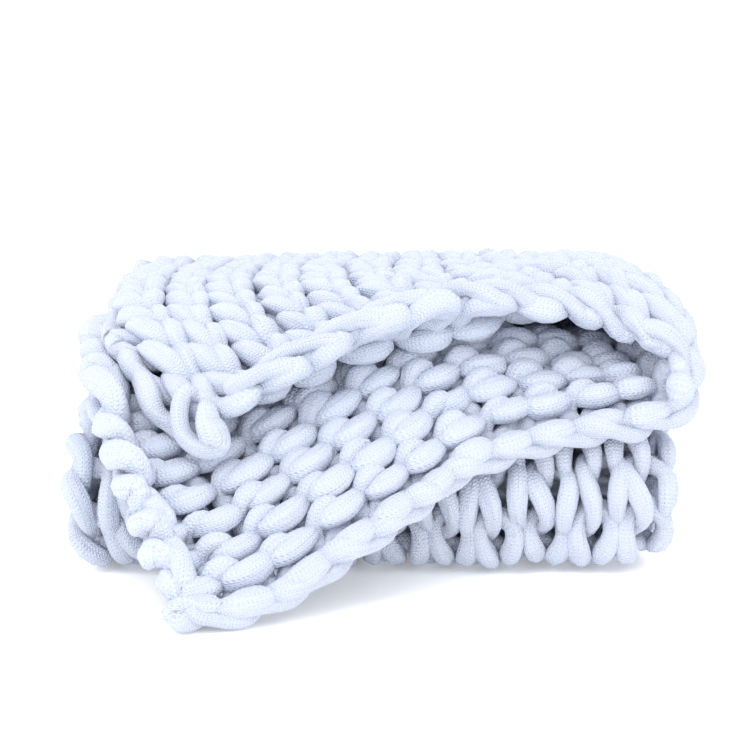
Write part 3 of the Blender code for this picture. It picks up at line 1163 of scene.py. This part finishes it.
class KNIT_OT_chains(bpy.types.Operator):
    """Close both ends of the cloth with a chain of links"""

    bl_idname = "knit.chains"
    bl_label = "Chain the edges"

    def execute(self, context):
        yarn = context.scene.throw_yarn
        material = yarn_material(context.scene.throw_look)
        for chain in CHAINS:
            for strand in range(2):
                path = chain_path(chain, strand, yarn)
                line = folded().at(*path[:, :3].T)
                name = f"{chain.name}_{strand + 1}"
                add_yarn(name, line, path[:, 3], FINE.around, yarn, material)
        path = smooth_line(np.array(LAST_LOOP), LAST_LOOP_STEPS)
        start, _ = folded().at(np.array([LAST_LOOP_WALE]), np.array([LAST_LOOP_COURSE]))
        line = (start + path[:, :3], np.tile(LAST_LOOP_FACING, (len(path), 1)))
        add_yarn("yarn_last_loop", line, path[:, 3], FINE.around, yarn, material)
        return {"FINISHED"}


class KNIT_OT_declare(bpy.types.Operator):
    """Does nothing: the cloth is not declared here"""

    bl_idname = "knit.declare"
    bl_label = "Declare cloth"

    def execute(self, context):
        return {"FINISHED"}


def add_light(name, location, target, size, energy):
    """A round soft light that looks at its target."""
    data = bpy.data.lights.new(name, "AREA")
    data.shape = "DISK"
    data.size = size
    data.energy = energy
    light = add_object(name, data)
    light.location = location
    light.rotation_euler = (target - location).to_track_quat("-Z", "Y").to_euler()


class KNIT_OT_stage(bpy.types.Operator):
    """Set the pale floor, the soft light and the camera"""

    bl_idname = "knit.stage"
    bl_label = "Set stage"

    def execute(self, context):
        stage = context.scene.throw_stage
        aim = -BOX_CENTRE + Vector((0.0, 0.0, (LOW.z + HIGH.z) / 2))
        floor_grid = bmesh.new()
        bmesh.ops.create_circle(
            floor_grid, cap_ends=True, segments=FLOOR_CORNERS, radius=FLOOR_RADIUS
        )
        mesh = bpy.data.meshes.new("studio_floor")
        floor_grid.to_mesh(mesh)
        floor_grid.free()
        material, _, shader = clean_material("pale_floor", FLOOR_ROUGHNESS)
        shader.inputs["Base Color"].default_value = FLOOR_COLOUR
        shader.inputs["Emission Color"].default_value = WHITE
        shader.inputs["Emission Strength"].default_value = stage.floor_glow
        mesh.materials.append(material)
        add_object("studio_floor", mesh)

        world = bpy.data.worlds.new("White surround")
        world.use_nodes = True
        background = world.node_tree.nodes["Background"]
        background.inputs["Color"].default_value = WHITE
        background.inputs["Strength"].default_value = stage.surround
        context.scene.world = world

        add_light("key", aim + KEY_PLACE, aim, KEY_SIZE, KEY_ENERGY)

        data = bpy.data.cameras.new("Camera")
        data.lens = stage.lens
        camera = add_object("Camera", data)
        back = Vector((0.0, -math.cos(stage.elevation), math.sin(stage.elevation)))
        camera.location = aim + back * stage.distance
        camera.rotation_euler = (-back).to_track_quat("-Z", "Y").to_euler()
        context.scene.camera = camera
        context.scene.view_settings.view_transform = "Standard"
        return {"FINISHED"}


class KNIT_PT_throw(bpy.types.Panel):
    """Lists the throw's settings and steps"""

    bl_label = "Chunky Knit Throw"
    bl_space_type = "VIEW_3D"
    bl_region_type = "UI"
    bl_category = "Throw"

    def draw(self, context):
        column = self.layout.column()
        for group in SETTINGS:
            settings = getattr(context.scene, group)
            for name in settings.__annotations__:
                column.prop(settings, name)
        for operator in OPERATORS:
            column.operator(operator.bl_idname)


OPERATORS = (
    KNIT_OT_shade_sheet,
    KNIT_OT_courses,
    KNIT_OT_chains,
    KNIT_OT_stage,
    KNIT_OT_declare,
)
SETTINGS = {"throw_yarn": ThrowYarn, "throw_look": ThrowLook, "throw_stage": ThrowStage}
CLASSES = (*SETTINGS.values(), *OPERATORS, KNIT_PT_throw)


def register():
    """Adds the classes and the scene's settings."""
    for item in CLASSES:
        bpy.utils.register_class(item)
    for name, group in SETTINGS.items():
        setattr(bpy.types.Scene, name, PointerProperty(type=group))


def unregister():
    """Takes them away again."""
    for name in SETTINGS:
        delattr(bpy.types.Scene, name)
    for item in reversed(CLASSES):
        bpy.utils.unregister_class(item)


def main():
    """Makes the throw and its stage."""
    register()
    bpy.ops.knit.backing()
    bpy.ops.knit.courses()
    bpy.ops.knit.chains()
    bpy.ops.knit.stage()
    bpy.ops.knit.declare()


if __name__ == "__main__":
    main()
